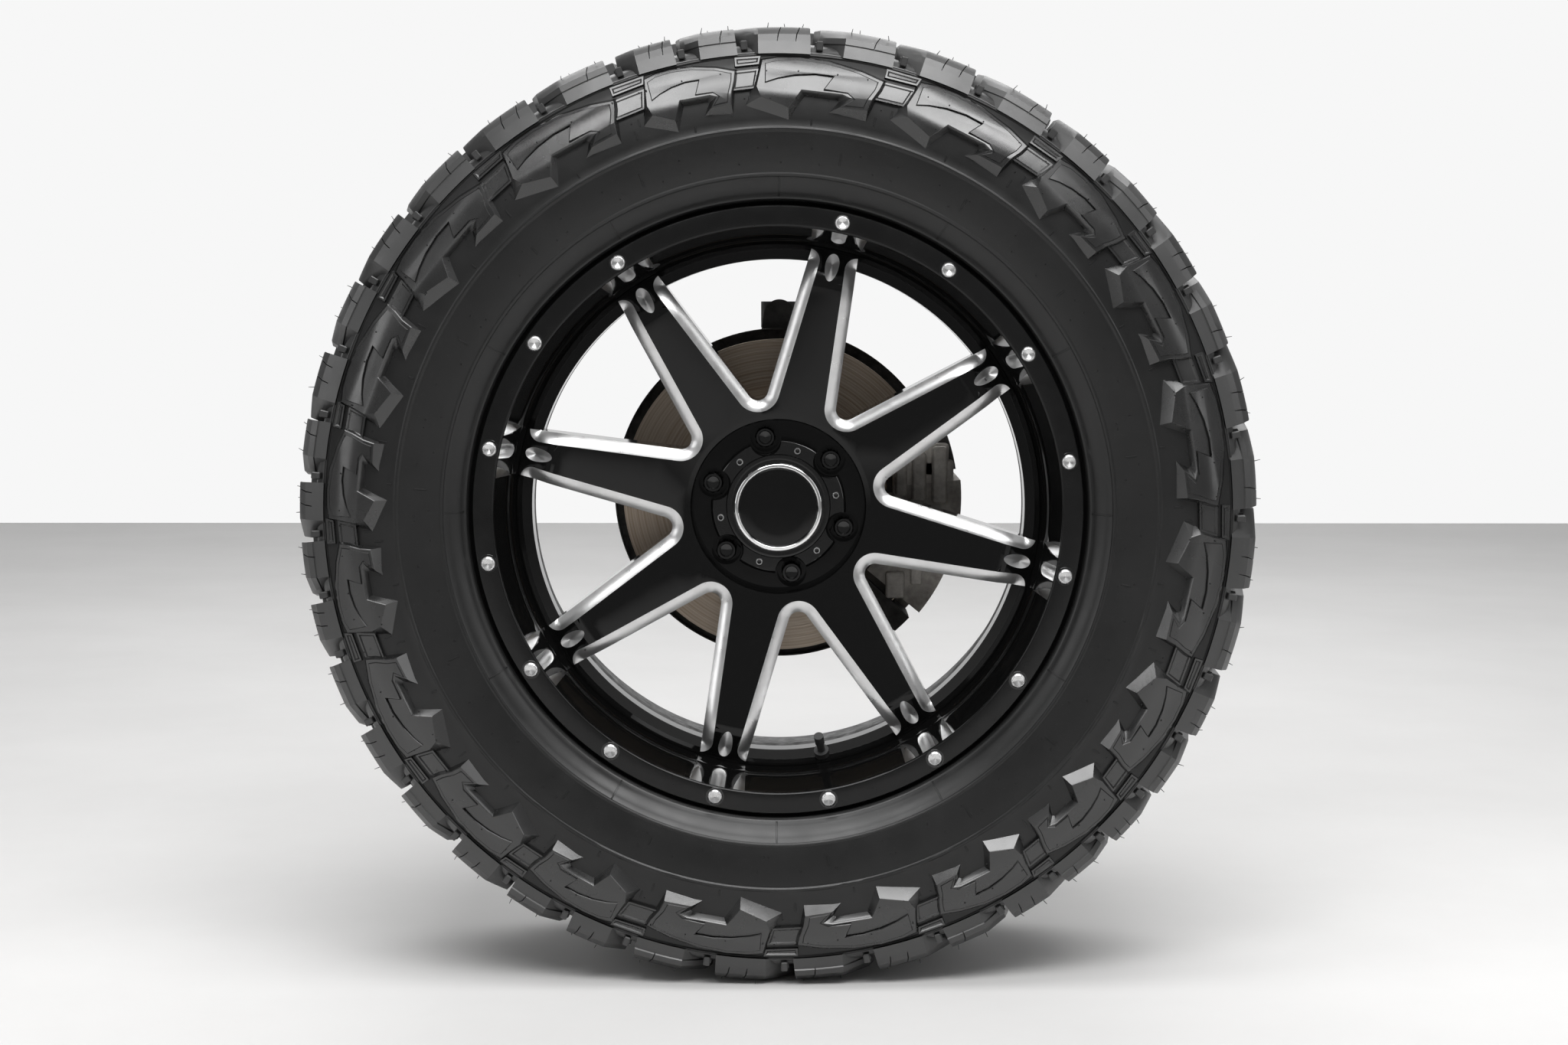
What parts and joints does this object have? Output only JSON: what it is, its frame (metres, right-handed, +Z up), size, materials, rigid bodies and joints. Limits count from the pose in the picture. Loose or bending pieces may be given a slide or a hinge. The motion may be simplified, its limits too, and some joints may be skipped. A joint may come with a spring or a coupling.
{
  "type": "truck front wheel corner",
  "caption": "Off-road tyre on a black alloy truck wheel, turning on its hub with brake disc, caliper and steering knuckle.",
  "frame": {"origin": "centre of the knuckle's lower ball-joint bore", "axes": "+Y inboard along the wheel's turning axis, -X towards the front of the truck, +Z up"},
  "size_m": [0.94, 0.34, 0.9394],
  "materials": {
    "tyre_rubber": "matte",
    "black_alloy": "gloss",
    "bolt_steel": "satin",
    "black_steel": "satin",
    "black_plastic": "gloss",
    "bright_ring": "polished",
    "machined_iron": "satin",
    "worn_iron": "satin",
    "shield_steel": "matte",
    "cast_iron": "matte",
    "black_iron": "matte",
    "rusty_iron": "matte",
    "pad_steel": "matte",
    "stem_rubber": "matte",
    "weight_steel": "satin"
  },
  "bodies": {
    "knuckle": {"wheel_bearing": "machined_iron", "brake_shield": "shield_steel", "bearing_bolts": "bolt_steel", "knuckle": "cast_iron", "caliper_bracket": "black_iron", "bracket_bolts": "bolt_steel", "caliper_body": "rusty_iron", "caliper_pistons": "bolt_steel", "guide_pins": "bolt_steel", "outer_pad": "pad_steel", "inner_pad": "pad_steel"},
    "wheel": {"alloy_wheel": "black_alloy", "tyre": "tyre_rubber", "lip_bolts": "bolt_steel", "lug_nuts": "black_steel", "wheel_studs": "bolt_steel", "cap_base": "black_plastic", "cap_ring": "bright_ring", "cap_disc": "black_plastic", "cap_screws": "bolt_steel", "hub": "machined_iron", "brake_disc": "worn_iron", "valve_stem": "stem_rubber", "balance_weight": "weight_steel"}
  },
  "joints": [
    {"name": "wheel_spin", "type": "hinge", "parent": "knuckle", "child": "wheel", "pos_m": [0, 0, 0.13], "axis": [0, 1, 0], "continuous": true}
  ]
}
